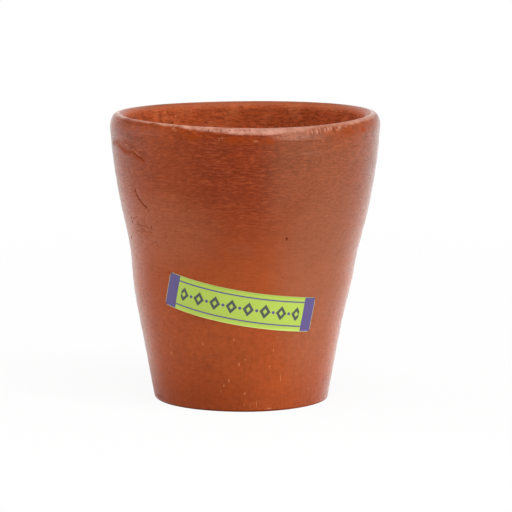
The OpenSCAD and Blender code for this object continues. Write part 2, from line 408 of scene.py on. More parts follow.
class ClayLook(PropertyGroup):
    """Colours and finish of the fired clay."""

    # The deep tone is partly painted shade: in front, where the wall faces the room's dark side, and high on
    # the left
    deep: colour("Deep clay", "Tone of the thick slip on the upper wall", 127, 46, 12)
    middle: colour("Middle clay", "Commonest tone of the fired wall", 161, 73, 30)
    inside: colour("Inside", "Tone of the clay inside the cup", 180, 86, 47)
    # Also the tone of the painted sheen at the sides, and partly of the painted highlight on the lip
    worn: colour("Worn clay", "Tone where the slip is rubbed off", 206, 150, 129)
    # Tone of painted sheen: the highlight on the right, the reflection high on the left and on the far lip
    painted_sheen: colour("Haze", "Tone of the drier slip on the right", 144, 86, 60)
    rust: colour("Rust", "Tone of bare red patches under the lip", 146, 60, 20)
    chip: colour("Chips", "Tone where the slip has flaked off", 190, 114, 80)
    # Painted shade in pits, cracks and wrinkles
    pit: colour("Pits", "Tone in pits and cracks", 96, 34, 14)
    streak: colour("Streaks", "Tone of the thin slip between the wheel lines", 168, 84, 46)
    speck: colour("Specks", "Tone of pale grit", 214, 138, 92)
    smudge: colour("Smudge", "Tone of a faint grey smudge", 128, 82, 62)
    roughness: number("Roughness", "Roughness of the burnished slip", 0.31)
    gloss: number("Gloss", "How strongly the slip reflects, 0.5 being that of glass", 0.12)
    dust: number("Dust", "How pale the clay turns when seen edge on", 0.85)
    dust_spread: number("Dust spread", "How far that paleness reaches from the edge", 0.32)
    rubbed_gloss: number("Rubbed gloss", "Gloss added where the lip is rubbed smooth", 0.4)
    rubbed_roughness: number("Rubbed roughness", "Roughness of that added gloss", 0.3)


class StageLook(PropertyGroup):
    """Camera and light of the studio."""

    camera_away: length("Camera distance", "From the cup's axis to the camera", 1.0689)
    camera_height: length("Camera height", "Above the ground", 0.199)
    camera_aside: length("Camera aside", "To the right of the cup's axis", 4.0 * MM)
    camera_pitch: angle("Camera pitch", "How far the camera looks down", 8.2)
    lens: number("Lens", "Focal length in millimetres on a 36 mm sensor", 240.3, "DISTANCE_CAMERA")
    right_power: number("Right light", "Power of the soft light on the right, in watts", 9.8, "POWER")
    left_power: number("Left light", "Power of the soft light on the left, in watts", 6.5, "POWER")
    top_power: number("Top light", "Power of the soft light above, in watts", 10.2, "POWER")
    front_level: number("Front level", "Brightness of the room on the camera's side", 0.41)
    back_level: number("Back level", "Brightness of the room behind the cup", 0.45)


class KulhadSettings(PropertyGroup):
    """All settings of the kulhad."""

    cup: PointerProperty(type=CupSizes)
    label: PointerProperty(type=LabelSizes)
    clay: PointerProperty(type=ClayLook)
    stage: PointerProperty(type=StageLook)


# Shape


def ease(value, start, end):
    """0 at start, 1 at end, and a smooth step between them."""
    t = np.clip((value - start) / (end - start), 0, 1)
    return t * t * (3 - 2 * t)


def sway(turn, waves):
    """The sum of waves round the cup, each with its height, its lobes and the turn of one crest."""
    return sum(size * np.cos(lobes * (turn - np.radians(crest))) for size, lobes, crest in waves)


def wall_radius(height, cup):
    """Outside radius: a cubic through the set widths, with the slope at each the mean of its two chords."""
    widest = cup.height - cup.lip_rounding
    z = np.array([
        0, cup.lower_height, cup.belly_height, cup.waist_height,
        cup.shoulder_height, cup.collar_height, widest,
    ])
    r = np.array([
        cup.foot_diameter, cup.lower_diameter, cup.belly_diameter, cup.waist_diameter,
        cup.shoulder_diameter, cup.collar_diameter, cup.lip_diameter,
    ]) / 2
    step = np.diff(z)
    chord = np.diff(r) / step
    inner = (chord[:-1] * step[1:] + chord[1:] * step[:-1]) / (step[:-1] + step[1:])
    slope = np.concatenate([chord[:1], inner, chord[-1:]])
    i = np.clip(np.searchsorted(z, height) - 1, 0, len(step) - 1)
    t = (height - z[i]) / step[i]
    return (
        r[i] * (1 + 2 * t) * (1 - t) ** 2 + step[i] * slope[i] * t * (1 - t) ** 2
        + r[i + 1] * t * t * (3 - 2 * t) + step[i] * slope[i + 1] * t * t * (t - 1)
    )


def lean(height, cup):
    """How far the wall's centre stands to the right: a smooth step, half to each side of 0."""
    return cup.lean * (ease(height, cup.lean_low, cup.lean_high) - 0.5)


def path_distance(turn, height, path, radius):
    """Distance on the wall from each place to the nearest point of a scar's path, unrolled at one radius."""
    across, up = turn * radius, height
    nearest = np.full(np.broadcast(across, up).shape, np.inf)
    for (turn_a, up_a), (turn_b, up_b) in zip(path[:-1], path[1:]):
        across_a, across_b = np.radians(turn_a) * radius, np.radians(turn_b) * radius
        run, rise = across_b - across_a, up_b - up_a
        along = ((across - across_a) * run + (up - up_a) * rise) / (run * run + rise * rise)
        along = np.clip(along, 0, 1)
        nearest = np.minimum(nearest, np.hypot(across - across_a - along * run, up - up_a - along * rise))
    return nearest


def outside_relief(turn, height, cup):
    """How far the wall stands out: wheel ridges on helices, less the tool groove, plus the scars.

    A ridge is a cosine of height and turn. The groove is one arch of a cosine, deeper on the right. A scar
    is a bell curve of the distance to its path.
    """
    relief = 0
    for size, rise, starts, phase in RIDGES:
        relief = relief + size * np.cos(FULL_TURN * height / rise - starts * turn + phase)
    away = np.abs(height - (cup.height - cup.groove_drop)) / (cup.groove_height / 2)
    groove = cup.groove_depth * (1 + np.cos(np.pi * np.clip(away, 0, 1))) / 2
    right = ease(np.sin(turn - GROOVE_TURN), *GROOVE_CHANGE)
    relief = relief - groove * (GROOVE_LEFT + (GROOVE_RIGHT - GROOVE_LEFT) * right)
    for path, lift, spread in SCARS:
        apart = path_distance(turn, height, path, cup.lip_diameter / 2)
        relief = relief + lift * np.exp(-(apart / spread) ** 2)
    return relief


def place(turn, radius, height, cup):
    """A place in the frame from its turn, radius and height, with the lean and the lip's sway."""
    rise = (LIP_RISE + sway(turn, LIP_SWAY)) * ease(height, cup.shoulder_height, cup.height)
    return np.stack(
        [lean(height, cup) + radius * np.sin(turn), -radius * np.cos(turn), height + rise], axis=-1
    )


def oval(turn, height, cup):
    """Out-of-round part of the radius, growing from nothing at the foot."""
    return sway(turn, OUT_OF_ROUND) * ease(height, 0, cup.shoulder_height)


def wall_place(turn, height, lift, cup):
    """A place on the outside of the wall, lifted off it."""
    radius = wall_radius(height, cup) + oval(turn, height, cup) + outside_relief(turn, height, cup)
    return place(turn, radius + lift, height, cup)


def cup_section(cup, foot_edge):
    """Half of the cup's section, from the middle of the base round to the middle of the floor.

    The foot's edge and the floor's corner are arcs. The lip is a quarter of an ellipse outside and a quarter
    of a circle inside. Returns each row's radius and height, and the name of its stretch.
    """
    lip_r = cup.lip_thickness / 2
    lip_z = cup.height - cup.lip_rounding
    lip_inner_z = cup.height - lip_r
    tilt = np.arctan2((cup.lower_diameter - cup.foot_diameter) / 2, cup.lower_height)
    foot_z = foot_edge * (1 - np.sin(tilt))
    foot_r = wall_radius(foot_z, cup) - foot_edge * np.cos(tilt)
    corner_z = cup.floor_thickness + cup.floor_corner

    def inside_radius(z):
        """The outside radius less the wall, which thins evenly upwards and thickens again at the lip."""
        share = (z - cup.floor_thickness) / (lip_inner_z - cup.floor_thickness)
        thick = cup.wall_low + (cup.wall_high - cup.wall_low) * share
        below_lip = lip_inner_z - cup.ring_pitch
        thick = thick + (cup.lip_thickness - cup.wall_high) * ease(z, below_lip, lip_inner_z)
        return wall_radius(np.minimum(z, lip_z), cup) - thick

    corner_r = inside_radius(corner_z) - cup.floor_corner

    def steps(name):
        """Even steps along a stretch, up to 1 at its end."""
        return np.arange(1, ROWS[name] + 1) / ROWS[name]

    foot_a = -np.pi / 2 + (np.pi / 2 - tilt) * steps("foot")
    outside_z = foot_z + (lip_z - foot_z) * steps("outside")
    lip_a = np.pi * steps("lip")
    lip_outer = lip_z + cup.lip_rounding * np.sin(lip_a)
    lip_inner = lip_inner_z + lip_r * np.sin(lip_a)
    lip_height = np.where(lip_a < np.pi / 2, lip_outer, lip_inner)
    inside_z = lip_inner_z + (corner_z - lip_inner_z) * steps("inside") ** INSIDE_CROWDING
    corner_a = -np.pi / 2 * steps("corner")
    corner_height = corner_z + cup.floor_corner * np.sin(corner_a)
    stretches = {
        "base": (foot_r * steps("base"), np.zeros(ROWS["base"])),
        "foot": (foot_r + foot_edge * np.cos(foot_a), foot_edge * (1 + np.sin(foot_a))),
        "outside": (wall_radius(outside_z, cup), outside_z),
        "lip": (cup.lip_diameter / 2 - lip_r + lip_r * np.cos(lip_a), lip_height),
        "inside": (inside_radius(inside_z), inside_z),
        "corner": (corner_r + cup.floor_corner * np.cos(corner_a), corner_height),
        "floor": (corner_r * (1 - steps("floor")), np.full(ROWS["floor"], cup.floor_thickness)),
    }
    radius = np.concatenate([r for r, z in stretches.values()])
    height = np.concatenate([z for r, z in stretches.values()])
    names = np.concatenate([np.full(len(r), name) for name, (r, z) in stretches.items()])
    return radius, height, names


def cup_surface(cup):
    """The whole cup as one closed surface of its section carried round the axis.

    The radius gets the wall's relief outside and the finger rings inside, both on a helix. The base gets the
    arcs of the cutting string, and the floor a spiral with a hump. Returns the grid without its two poles,
    the poles, and for each place its share of the inside's finish and of the lip's, and how far it is above
    the rubbed band's edge.
    """
    radius, height, names = cup_section(cup, cup.foot_edge)
    keen_radius, keen_height = cup_section(cup, cup.foot_keen_edge)[:2]
    turn = np.linspace(-np.pi, np.pi, COLUMNS, endpoint=False)[None, :]
    keen = ease(np.cos(turn - np.radians(KEEN_FOOT)), *KEEN_CHANGE)
    r = radius[:, None] + (keen_radius - radius)[:, None] * keen
    z = height[:, None] + (keen_height - height)[:, None] * keen
    outside = (names == "outside")[:, None]
    inside = np.isin(names, ["inside", "corner"])[:, None]
    base = (names == "base")[:, None]
    floor = (names == "floor")[:, None]

    fade = ease(z, cup.floor_thickness, cup.floor_thickness + cup.floor_corner)
    fade = fade * (1 - ease(z, cup.height - 2 * cup.ring_pitch, cup.height - cup.lip_thickness))
    rings = cup.ring_depth * np.cos(FULL_TURN * z / cup.ring_pitch - turn) * fade
    r = r + outside * outside_relief(turn, z, cup) + inside * rings
    r = r + oval(turn, z, cup) * ~(base | floor)

    foot_r = radius[names == "base"][-1]
    aside = r * np.sin(turn) - STRING_CENTRE[0]
    behind = STRING_FLATTENING * (r * np.cos(turn) - STRING_CENTRE[1])
    arcs = 1 + np.cos(FULL_TURN * np.hypot(aside, behind) / STRING_PITCH)
    fade_from, fade_to = (share * foot_r for share in STRING_FADE_SHARES)
    string = STRING_HEIGHT * arcs * (1 - ease(r, fade_from, fade_to))
    spiral = SPIRAL_HEIGHT * np.cos(FULL_TURN * r / SPIRAL_PITCH - turn) * ease(r, *SPIRAL_MIDDLE)
    spiral = spiral * (1 - ease(r, *SPIRAL_EDGE)) + HUMP_HEIGHT * (1 - ease(r, *HUMP_EDGE))
    z = z + base * string + floor * spiral

    points = place(turn, r, z, cup)
    low, high = points[0].mean(axis=0), points[-2].mean(axis=0)
    arc = np.cumsum(names == "lip")[:, None] / ROWS["lip"]
    rubbed = np.interp(np.degrees(turn), *np.array(RUBBED).T) * MM
    rubbed = np.minimum((height[:, None] - rubbed) / MM, 1 - 2 * ease(arc, *RUBBED_ENDS))
    reach = LIP_REACH_OUT + (LIP_REACH_IN - LIP_REACH_OUT) * ease(arc, *LIP_NARROWS)
    share = {
        "inside": ease(arc, *INSIDE_BEGINS),
        "lip": np.exp(-((z - cup.height) / reach) ** 2),
        "rubbed": np.clip(rubbed, -2, 1),
    }
    share = {name: np.broadcast_to(values, r.shape)[:-1] for name, values in share.items()}
    return points[:-1], low, high, share


def label_surface(label, cup):
    """The label's two faces: a rectangle with round corners, wrapped on the cone that touches the wall.

    The unrolled cone is a sector, in which the label is flat and bowed. The turn takes out the wall's lean,
    so that the paper isn't sheared. Returns the faces as grids of places, and the place of each point along
    and across the flat label.
    """
    straight = label.length / 2 - label.corner
    bend = np.pi / 2 * np.arange(1, LABEL_CORNER_STEPS + 1) / LABEL_CORNER_STEPS
    end = straight + label.corner * np.sin(bend)
    along = np.concatenate([-end[::-1], np.linspace(-straight, straight, LABEL_STEPS + 1), end])
    past = np.maximum(np.abs(along) - straight, 0)
    half = label.height / 2 - label.corner + np.sqrt(np.maximum(label.corner ** 2 - past ** 2, 0))
    across = half[:, None] * np.linspace(-1, 1, LABEL_ROWS + 1)[None, :]
    along = np.broadcast_to(along[:, None], across.shape)

    high, low = label.centre + label.height / 2, label.centre - label.height / 2
    slope = np.arctan((wall_radius(high, cup) - wall_radius(low, cup)) / label.height)
    sector = wall_radius(label.centre, cup) / np.sin(slope)
    rise = across - label.bow * (2 * along / label.length) ** 2
    side = along * np.cos(label.tilt) + rise * np.sin(label.tilt)
    up = sector - along * np.sin(label.tilt) + rise * np.cos(label.tilt)
    turn = label.turn + np.arctan2(side, up) / np.sin(slope)
    height = label.centre + (np.hypot(side, up) - sector) * np.cos(slope)
    slip = lean(height, cup) - lean(label.centre, cup)
    turn = turn - slip * np.cos(turn) / wall_radius(height, cup)
    faces = [wall_place(turn, height, lift, cup) for lift in (label.glue, label.glue + label.thickness)]
    return faces, along, across


# Meshes


def quads(index):
    """The four corners of each cell of a grid of point numbers."""
    return np.stack([index[:-1, :-1], index[:-1, 1:], index[1:, 1:], index[1:, :-1]], axis=-1).reshape(-1, 4)


def make_piece(name, points, faces, material):
    """A mesh piece from its points and its lists of faces of three or four corners."""
    mesh = bpy.data.meshes.new(name)
    corners = np.concatenate([part.ravel() for part in faces])
    sizes = np.concatenate([np.full(len(part), part.shape[1]) for part in faces])
    mesh.vertices.add(len(points))
    mesh.vertices.foreach_set("co", points.astype(np.float32).ravel())
    mesh.loops.add(len(corners))
    mesh.loops.foreach_set("vertex_index", corners.astype(np.int32))
    mesh.polygons.add(len(sizes))
    mesh.polygons.foreach_set("loop_start", (np.cumsum(sizes) - sizes).astype(np.int32))
    mesh.polygons.foreach_set("use_smooth", np.ones(len(sizes), bool))
    mesh.update(calc_edges=True)
    mesh.validate()
    mesh.materials.append(material)
    piece = bpy.data.objects.new(name, mesh)
    bpy.context.scene.collection.objects.link(piece)
    return piece


def store(piece, name, values):
    """Keeps one number per point on the piece, for its material to read."""
    piece.data.attributes.new(name, "FLOAT", "POINT").data.foreach_set("value", values.astype(np.float32))


# Materials


class Value:
    """A socket in a node tree. Arithmetic on it adds Math nodes, so shader maths reads as an expression."""

    def __init__(self, tree, socket):
        self.tree = tree
        self.socket = socket

    def node(self, kind, settings, inputs, output=0):
        """Adds a node: its settings first, then the values or links of its sockets."""
        return add_node(self.tree, kind, settings, inputs, output)

    def math(self, operation, *others):
        """A Math node with this value first."""
        inputs = dict(enumerate((self,) + others))
        return self.node("ShaderNodeMath", {"operation": operation}, inputs)

    def __add__(self, other):
        return self.math("ADD", other)

    def __sub__(self, other):
        return self.math("SUBTRACT", other)

    def __mul__(self, other):
        return self.math("MULTIPLY", other)

    def __truediv__(self, other):
        return self.math("DIVIDE", other)

    def __pow__(self, other):
        return self.math("POWER", other)

    def reflected(self, operation, other):
        """A Math node with this value second."""
        return self.node("ShaderNodeMath", {"operation": operation}, {0: other, 1: self})

    def __rsub__(self, other):
        return self.reflected("SUBTRACT", other)

    def __rtruediv__(self, other):
        return self.reflected("DIVIDE", other)

    def __rpow__(self, other):
        return self.reflected("POWER", other)

    def __neg__(self):
        return self * -1.0

    __radd__ = __add__
    __rmul__ = __mul__

    def least(self, other):
        """The lesser of two values."""
        return self.math("MINIMUM", other)

    def most(self, other):
        """The greater of two values."""
        return self.math("MAXIMUM", other)

    def size(self):
        """The value without its sign."""
        return self.math("ABSOLUTE")

    def swing(self):
        """How far a noise is above or below its middle."""
        return self - 0.5

    def step(self, start, end):
        """0 at start, 1 at end, smooth between."""
        return self.node(
            "ShaderNodeMapRange", {"interpolation_type": "SMOOTHSTEP"},
            {"Value": self, "From Min": start, "From Max": end},
        )

    def times(self, scale, shift=0.0):
        """A vector scaled along each axis and shifted alike along all."""
        inputs = {0: self, 1: scale, 2: (shift, shift, shift)}
        return self.node("ShaderNodeVectorMath", {"operation": "MULTIPLY_ADD"}, inputs)

    def parts(self):
        """The three parts of a vector or colour."""
        return [self.node("ShaderNodeSeparateXYZ", {}, {"Vector": self}, part) for part in range(3)]

    def noise(self, detail=2.0, roughness=0.5):
        """Cloudy noise at a vector, from 0 to 1."""
        inputs = {"Vector": self, "Scale": 1.0, "Detail": detail, "Roughness": roughness}
        return self.node("ShaderNodeTexNoise", {}, inputs)

    def cells(self):
        """Scattered points at a vector: the distance to the nearest one, and that one's random colour."""
        inputs = {"Vector": self, "Scale": 1.0}
        return [self.node("ShaderNodeTexVoronoi", {}, inputs, output) for output in range(2)]

    def mix(self, first, second):
        """A colour between two, by this share of the second. The numbers are the node's colour sockets."""
        return self.node("ShaderNodeMix", {"data_type": "RGBA"}, {0: self, 6: first, 7: second}, 2)


def add_node(tree, kind, settings, inputs, output=0):
    """Adds a node to a tree: its settings first, then the values or links of its sockets."""
    made = tree.nodes.new(kind)
    for name, value in settings.items():
        setattr(made, name, value)
    for key, value in inputs.items():
        if isinstance(value, Value):
            tree.links.new(value.socket, made.inputs[key])
        else:
            made.inputs[key].default_value = value
    return Value(tree, made.outputs[output]) if len(made.outputs) else made


def rgba(property_colour):
    """A colour setting with full alpha."""
    return (*property_colour, 1.0)


def new_material(name):
    """An empty node material."""
    material = bpy.data.materials.new(name)
    material.use_nodes = True
    material.node_tree.nodes.clear()
    return material


def object_place(tree):
    """A place on a piece, in the frame's metres."""
    return add_node(tree, "ShaderNodeTexCoord", {}, {}, "Object")


def bump(height):
    """A normal from a height in metres."""
    return height.node("ShaderNodeBump", {}, {"Height": height, "Strength": 1.0, "Distance": 1.0})


def finish_material(tree, shader):
    """Joins a shader to the tree's output."""
    add_node(tree, "ShaderNodeOutputMaterial", {}, {"Surface": shader})


class ClayPlace:
    """What the clay's material knows of a place on the cup, as values in its node tree.

    The turn is 0 at the front and grows to the right. The side is the turn, eased back to 0 at the back, so
    that the tones of left and right meet there. Across and z are the place on the wall, unrolled at the
    radius of the lip.
    """

    def __init__(self, tree, cup):
        self.at = object_place(tree)
        self.x, self.y, self.z = self.at.parts()
        self.inside, self.lip, self.rubbed = [
            add_node(tree, "ShaderNodeAttribute", {"attribute_name": name}, {}, "Fac")
            for name in ("inside", "lip", "rubbed")
        ]
        self.outside = 1 - self.inside
        self.rough_inside = self.inside * (1 - self.lip)
        self.radius = cup.lip_diameter / 2
        self.turn = self.x.math("ARCTAN2", -self.y)
        self.side = self.turn * (1 - self.turn.size().step(*BACK))
        self.across = self.turn * self.radius
        self.upper = self.z.step(*UPPER_WALL) * self.outside
        self.lower = (1 - self.z.step(*LOWER_WALL_ENDS)) * self.outside
        self.collar = self.z.step(*COLLAR) * self.outside
        # Front zone of painted shade, where the wall faces the room's dark side
        self.shade = self.side.step(*SHADE_BEGINS) * (1 - self.side.step(*SHADE_ENDS))
        self.plain = self.side.step(*PLAIN_BEGINS)
        # Darker, deeper in tone and matt low on the left
        self.low_left_dark = (1 - self.z.step(*LOW_LEFT_DARK_ENDS)) * (1 - self.side.step(*LOW_LEFT_DARK_FADES)) * LOW_LEFT_DARK_SHARE
        self.add_noises()
        # Painted sheen high on the left
        self.left_sheen = self.mark(LEFT_SHEEN, 0.0)
        self.torn = self.blotch.swing() * TORN
        self.crease = self.distance(CREASE)
        self.groove = self.distance(FOLD) + self.torn * 0.15
        self.fold = (1 - (self.crease + self.torn * 0.3).step(0.1 * MM, 0.7 * MM)) * self.outside

    def add_noises(self):
        """Noises from 0 to 1: those of the table, streaks round the cup, and slanted scrapes and creases."""
        for name, (cells, shift, detail, roughness) in NOISES.items():
            setattr(self, name, self.at.times(cells, shift).noise(detail, roughness))
        out = (self.x * self.x + self.y * self.y) ** 0.5
        around = self.combine(self.x / out * self.radius, self.y / out * self.radius, self.z)
        cells, shift, detail, roughness = STREAK
        self.streak = around.times(cells, shift).noise(detail, roughness)
        scraped = self.combine(self.x * 1000 + self.z * 1300, self.y * 400, self.z * 400 - self.x * 350)
        self.scrape = scraped.noise(2.0).step(0.5, 0.62)
        creased = self.combine(self.across * 700 + self.z * 900, self.across * 200 - self.z * 260, 0.0)
        self.slant = creased.noise(2.0)

    def combine(self, x, y, z):
        """A vector from its parts."""
        return self.at.node("ShaderNodeCombineXYZ", {}, {0: x, 1: y, 2: z})

    def distance(self, path):
        """Distance in metres to a scar's path: the least of those to its straight stretches."""
        nearest = None
        for (turn_a, up_a), (turn_b, up_b) in zip(path[:-1], path[1:]):
            across_a, across_b = np.radians(turn_a) * self.radius, np.radians(turn_b) * self.radius
            run, rise = across_b - across_a, up_b - up_a
            scale = run * run + rise * rise
            along = (self.across - across_a) * (run / scale) + (self.z - up_a) * (rise / scale)
            along = along.most(0.0).least(1.0)
            off_across = self.across - across_a - along * run
            off_up = self.z - up_a - along * rise
            apart = (off_across * off_across + off_up * off_up) ** 0.5
            nearest = apart if nearest is None else nearest.least(apart)
        return nearest

    def mark(self, spot, core=0.2):
        """A soft oval mark: 1 in its core, 0 outside it."""
        turn, height, wide, tall = spot
        aside = (self.across - np.radians(turn) * self.radius) / (wide * MM)
        above = (self.z - height * MM) / (tall * MM)
        return 1 - (aside * aside + above * above).step(core, 1.0)

    def marks(self, spots):
        """All marks of one kind together."""
        together = self.mark(spots[0])
        for spot in spots[1:]:
            together = together.most(self.mark(spot))
        return together

    def dots(self, kind, core):
        """Scattered round dots, 1 in their cores and 0 outside, and a random number from 0 to 1 for each."""
        cells, shift, least, most = kind
        away, pick = self.at.times(cells, shift).cells()
        chance, size = pick.parts()[:2]
        return 1 - (away / (least + (most - least) * size)).step(core, 1.0), chance


def wheel_lines(on):
    """Lines left by the wheel, above or below 0: fine, drawn-out and long, strongest high on the wall."""
    fine = on.line.swing() * (0.55 + on.upper * (0.85 - 0.25 * on.plain)) * on.outside
    drawn = on.draw.swing() * (0.15 + on.upper * (0.25 - 0.15 * on.plain))
    bands = on.band.swing() * (0.18 + on.upper * (0.25 - 0.2 * on.plain))
    lines = fine + drawn + bands
    return lines.most(lines * 0.6)


def brush_streaks(on):
    """Upright streaks of the brush, above or below 0, strongest low on the wall and on the lip."""
    return on.streak.swing() * (0.25 + 0.4 * on.lower + 0.6 * on.lip)


def slip_tone(on, look):
    """Colour of the slip: a deep coat, partly painted shade; painted sheen; thin lines; darker low on the
    left.
    """
    # Deeper coat high up: partly a thicker slip, partly painted shade in front and high on the left
    coat = on.upper * (0.28 + 0.82 * on.shade + 0.16 * (1 - on.side.step(*LEFT_SHADE_ENDS)))
    coat = coat + on.broad.swing() * 0.6 + on.mottle.swing() * 0.15
    tone = coat.most(0.0).least(1.0).mix(rgba(look.middle), rgba(look.deep))
    # Painted sheen on the right: the broad highlight of the right light as a paler tone, thinner under the
    # lip
    painted_sheen = (on.mark(RIGHT_SHEEN, 0.0) * RIGHT_SHEEN_SHARE).most(on.plain * on.upper * PLAIN_SHEEN_SHARE)
    # Painted sheen high on the left, as a paler tone
    painted_sheen = painted_sheen.most(on.left_sheen * LEFT_SHEEN_SHARE) * on.outside
    painted_sheen = painted_sheen * (1 - 0.6 * on.collar * on.side.step(*SHEEN_THINS))
    tone = painted_sheen.mix(tone, rgba(look.painted_sheen))
    thin = (on.line * 0.75 + on.draw * 0.25).swing().step(-0.06, 0.18)
    tone = (thin * on.upper * (0.15 + 0.2 * on.shade)).mix(tone, rgba(look.streak))
    # Deeper tone low on the left
    tone = on.low_left_dark.mix(tone, rgba(look.deep))
    # Painted sheen at the sides, where the wall is seen edge on
    side_sheen = on.side.size().step(*SIDE_SHEEN_TURNS) * on.z.step(*SIDE_SHEEN_BEGINS) * (1 - on.z.step(*SIDE_SHEEN_ENDS))
    return (side_sheen * on.outside * SIDE_SHEEN_SHARE).mix(tone, rgba(look.worn))


def inside_tone(on, look, slip):
    """Colour of the slip outside and of the dragged, mottled clay inside, with painted sheen on the far lip.
    """
    tone = on.inside.mix(slip, rgba(look.inside))
    tone = (on.rough_inside * on.drag.step(0.48, 0.66) * 0.3).mix(tone, rgba(look.rust))
    tone = (on.rough_inside * on.mottle.step(0.5, 0.68) * 0.18).mix(tone, rgba(look.speck))
    # Painted sheen on the far lip, where it is seen edge on
    return (on.lip * on.y.step(0.0, 30 * MM) * 0.6).mix(tone, rgba(look.painted_sheen))


def brightness(on, wheel, brush):
    """How bright a place is against its tone: 1, the swing of the noises, and painted light and shade."""
    light = 1 + wheel * 0.82 + brush * 0.4 + on.mottle.swing() * 0.25
    light = light + on.grain.swing() * (0.2 + 0.3 * on.upper) + on.fleck.swing() * on.lower * 0.45
    light = light + on.blotch.swing() * (0.7 * on.collar + 0.12 * on.rough_inside)
    scraped = on.scrape * on.blotch.step(0.4, 0.55) * 0.26
    light = light + (on.rough.swing() * 0.8 - on.drag.swing() - scraped) * on.rough_inside
    # Painted light low on the right, and painted shade high on the right
    right = on.side.step(*RIGHT_LIGHT) * (0.13 - 0.28 * on.z.step(*RIGHT_DARKENS))
    # Painted shade high on the far left
    left = on.z.step(*LEFT_DARKENS) * (1 - on.side.step(*LEFT_DARK_ENDS)) * 0.14
    # Painted light in the sheen mark high on the left
    light = light + (right + on.left_sheen * 0.1 - left) * on.outside
    # Painted shade at the foot, stronger on the right
    foot = (0.06 + 0.06 * on.side.step(*RIGHT_FOOT_DARK)) * (1 - on.z.step(*FOOT_DARK_ENDS))
    return (light * (1 - foot * on.outside)).most(0.6)


def pit_share(on):
    """Pits darkened as painted shade: a few scattered outside, many inside, and single ones."""
    dots, chance = on.dots(PIT_DOTS, 0.3)
    few = chance.step(0.93, 0.95) * on.outside * 0.5
    many = chance.step(0.6, 0.65) * on.rough_inside * 0.7
    pits = dots * (few + many)
    return pits.most(on.marks(PITS) * on.outside * PIT_SHARE)


def grit_share(on):
    """Pale grit: scattered low on the wall, and single grains."""
    dots, chance = on.dots(GRIT_DOTS, 0.4)
    grit = dots * chance.step(0.72, 0.78) * (1 - on.z.step(*GRIT_ENDS))
    return grit.most(on.marks(GRIT)) * on.outside * GRIT_SHARE


def scar_share(on):
    """Painted shade in the crack, wrinkles and crinkles, and painted shadow under the fold and at the foot.
    """
    # Painted shade in the crack, the wrinkles and the crinkled patch
    crack = on.distance(CRACK) + on.torn * 0.1
    scars = (1 - crack.step(0.08 * MM, 0.38 * MM)) * CRACK_SHARE
    for path in WRINKLES:
        wrinkle = on.distance(path) + on.torn * 0.2
        scars = scars.most((1 - wrinkle.step(0.0, 0.45 * MM)) * WRINKLE_SHARE)
    crinkled = (1 - (on.slant.swing().size() * 5.0).least(1.0)) * on.mark(CRINKLED, 0.0)
    scars = scars.most(crinkled.step(0.4, 1.0) * CRINKLE_SHARE)
    # Painted shadow under the fold, deeper towards its right end
    fold_shadow = (1 - on.groove.step(0.05 * MM, 0.5 * MM)) * (0.3 + 0.22 * on.turn.step(*FOLD_SHADOW_DEEPENS))
    # Painted shadow along the foot's edge, where it turns under
    foot_shadow_line = (1 - on.z.step(*FOOT_SHADOW_ENDS)) * (1 - 0.5 * on.side.step(*FOOT_SHADOW_THINS))
    # Painted shade at the foot's left corner
    scars = scars.most(fold_shadow).most(foot_shadow_line * FOOT_SHADOW_SHARE).most(on.mark(FOOT_CORNER_SHADE, 0.0) * FOOT_CORNER_SHADE_SHARE)
    return scars * on.outside


def rust_share(on):
    """Red clay: bare patches under the lip, a brushed patch on the right, and in the fold, partly painted
    shade.
    """
    rust = on.marks(RUST) * on.blotch.step(0.36, 0.6) * RUST_SHARE
    # In the fold's hollow the red tone is partly painted shade
    rust = rust.most((1 - on.groove.step(0.2 * MM, 1.6 * MM)) * FOLD_RUST_AND_SHADE_SHARE)
    return rust.most(on.mark(BARE_PATCH, 0.0) * (0.1 + 0.8 * on.streak)) * on.outside


def rub_share(on):
    """Where the lip is pale, rubbed and partly a painted highlight: a ragged band, nicks across it, and a
    faint patch below it.
    """
    nicks = on.mark(NICKS) * on.outside
    ragged = on.rubbed + on.blotch.swing() * 0.8 + on.grain.swing() * 0.5
    strength = (0.6 + 1.5 * (on.blotch - 0.45) + 0.9 * on.rough.swing()).most(0.2).least(0.9)
    rub = ragged.step(-0.4, 0.45) * strength * (1 - 0.8 * nicks) * (1 - 0.3 * on.side.step(*RUB_THINS))
    rub = rub.most(nicks * on.streak.step(0.44, 0.62) * ragged.step(-1.2, 0.2) * 0.7)
    patch = 0.2 + 0.4 * on.streak.swing() + 0.4 * on.line.swing()
    return rub.most(on.mark(RUBBED_PATCH, 0.0) * on.outside * patch)


def chip_share(on):
    """Flaked slip: single chips, and pale flakes along the crease's crest, partly a painted highlight."""
    chips = on.marks(CHIPS) * on.grain.step(0.3, 0.55)
    # Along the crease's crest the pale flakes are partly a painted highlight on the ridge
    return chips.most(on.fold * on.rough.step(0.42, 0.62) * 0.4) * on.outside * CHIP_SHARE


def clay_bump(on, wheel, brush, pits, grit):
    """Height of the finest relief, in metres: the sum of lines, streaks, noises, grit and pits."""
    height = wheel * WHEEL_BUMP + brush * BRUSH_BUMP
    height = height + on.grain.swing() * GRAIN_BUMP + on.mottle.swing() * MOTTLE_BUMP
    height = height + on.rough.swing() * on.rough_inside * INSIDE_BUMP
    height = height + on.fold * (on.rough - 0.4) * FOLD_BUMP
    return height - pits * PIT_BUMP + grit * GRIT_BUMP


